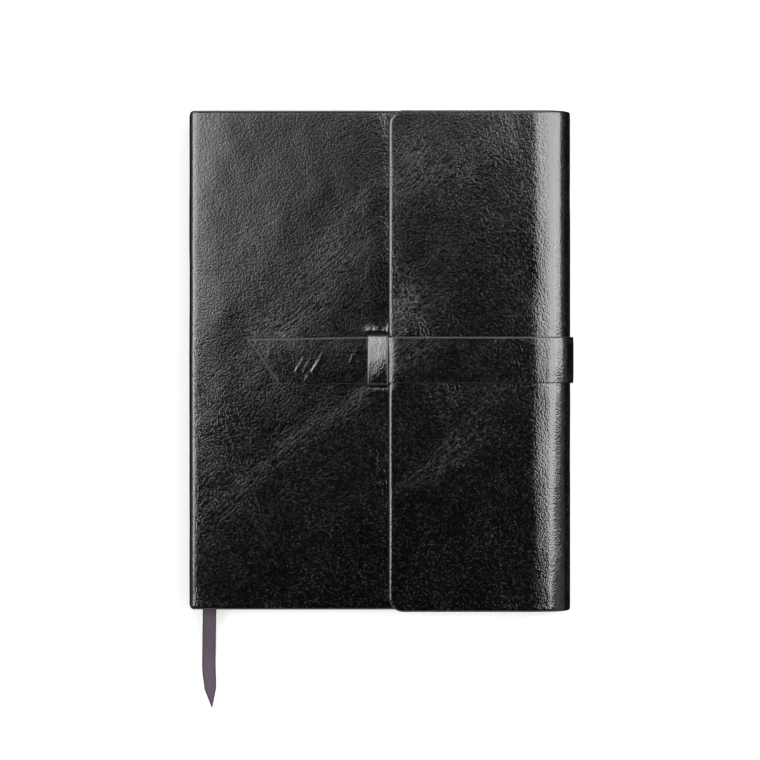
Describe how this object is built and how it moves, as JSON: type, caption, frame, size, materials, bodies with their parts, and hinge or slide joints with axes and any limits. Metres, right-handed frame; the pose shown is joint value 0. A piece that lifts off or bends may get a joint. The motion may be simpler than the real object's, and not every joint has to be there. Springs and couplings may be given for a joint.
{
  "type": "leather notebook cover",
  "caption": "Closed notebook in a soft black leather case, with a flap round the fore edge, a strap held by a keeper loop, opening covers and pages, and a ribbon marker.",
  "frame": {"origin": "centre of the closed notebook's plan, on the flat outer face of the back cover, ribbon's free end left out", "axes": "+X from the spine to the fore edge, +Y from the tail to the head, +Z out of the front cover"},
  "size_m": [0.1678, 0.2627, 0.0218],
  "materials": {
    "leather": "polished smooth leather with a fine pebble grain",
    "strap_leather": "polished smooth leather with cut edges",
    "lining": "matt split-leather lining",
    "card": "black card",
    "paper": "ivory writing paper",
    "endpaper": "heavier ivory endpaper",
    "gauze": "glued cotton gauze",
    "band": "woven silk band",
    "ribbon": "woven satin ribbon, purple grey"
  },
  "bodies": {
    "back_case": {"back_cover_leather": "leather", "back_edge_lining": "lining", "back_board": "card", "back_pastedown": "endpaper", "back_flyleaf": "endpaper", "section_07": "paper", "section_08": "paper", "section_09": "paper", "section_10": "paper", "section_11": "paper", "section_12": "paper", "mull_lower": "gauze", "headband_lower": "band", "tailband_lower": "band", "ribbon_marker": "ribbon", "ribbon_tail": "ribbon", "strap_anchor": "strap_leather"},
    "spine": {"spine_leather": "leather", "spine_inlay": "card"},
    "front_cover": {"front_cover_leather": "leather", "front_board": "card", "front_pastedown": "endpaper", "keeper_loop": "strap_leather"},
    "upper_pages": {"section_01": "paper", "section_02": "paper", "section_03": "paper", "section_04": "paper", "section_05": "paper", "section_06": "paper", "front_flyleaf": "endpaper", "mull_upper": "gauze", "headband_upper": "band", "tailband_upper": "band"},
    "fore_edge": {"fore_edge_leather": "leather", "fore_edge_lining": "lining", "strap_side": "strap_leather"},
    "flap": {"flap_leather": "leather", "flap_lining": "lining", "strap_fold": "strap_leather"},
    "strap": {"strap_front": "strap_leather", "strap_tail": "strap_leather"}
  },
  "joints": [
    {"name": "book_opening", "type": "hinge", "parent": "back_case", "child": "upper_pages", "pos_m": [-0.08155, 0, 0.00905], "axis": [0, -1, 0], "range_deg": [0, 180]},
    {"name": "spine_fold", "type": "hinge", "parent": "back_case", "child": "spine", "pos_m": [-0.08341, 0, 0.00054], "axis": [0, -1, 0], "range_deg": [0, 90]},
    {"name": "cover_fold", "type": "hinge", "parent": "spine", "child": "front_cover", "pos_m": [-0.08341, 0, 0.01756], "axis": [0, -1, 0], "range_deg": [0, 90]},
    {"name": "fore_edge_fold", "type": "hinge", "parent": "back_case", "child": "fore_edge", "pos_m": [0.08116, 0, 0.00129], "axis": [0, 1, 0], "range_deg": [0, 88]},
    {"name": "flap_fold", "type": "hinge", "parent": "fore_edge", "child": "flap", "pos_m": [0.08065, 0, 0.01775], "axis": [0, 1, 0], "range_deg": [0, 90], "deforming": ["flap_leather", "flap_lining"]},
    {"name": "strap_lift", "type": "hinge", "parent": "flap", "child": "strap", "pos_m": [0.07245, 0, 0.02105], "axis": [0, -1, 0], "range_deg": [-120, 0], "deforming": ["strap_front", "strap_tail"]}
  ],
  "couplings": [
    {"joint": "spine_fold", "follows": "book_opening", "ratio": 0.5},
    {"joint": "cover_fold", "follows": "book_opening", "ratio": 0.5}
  ]
}
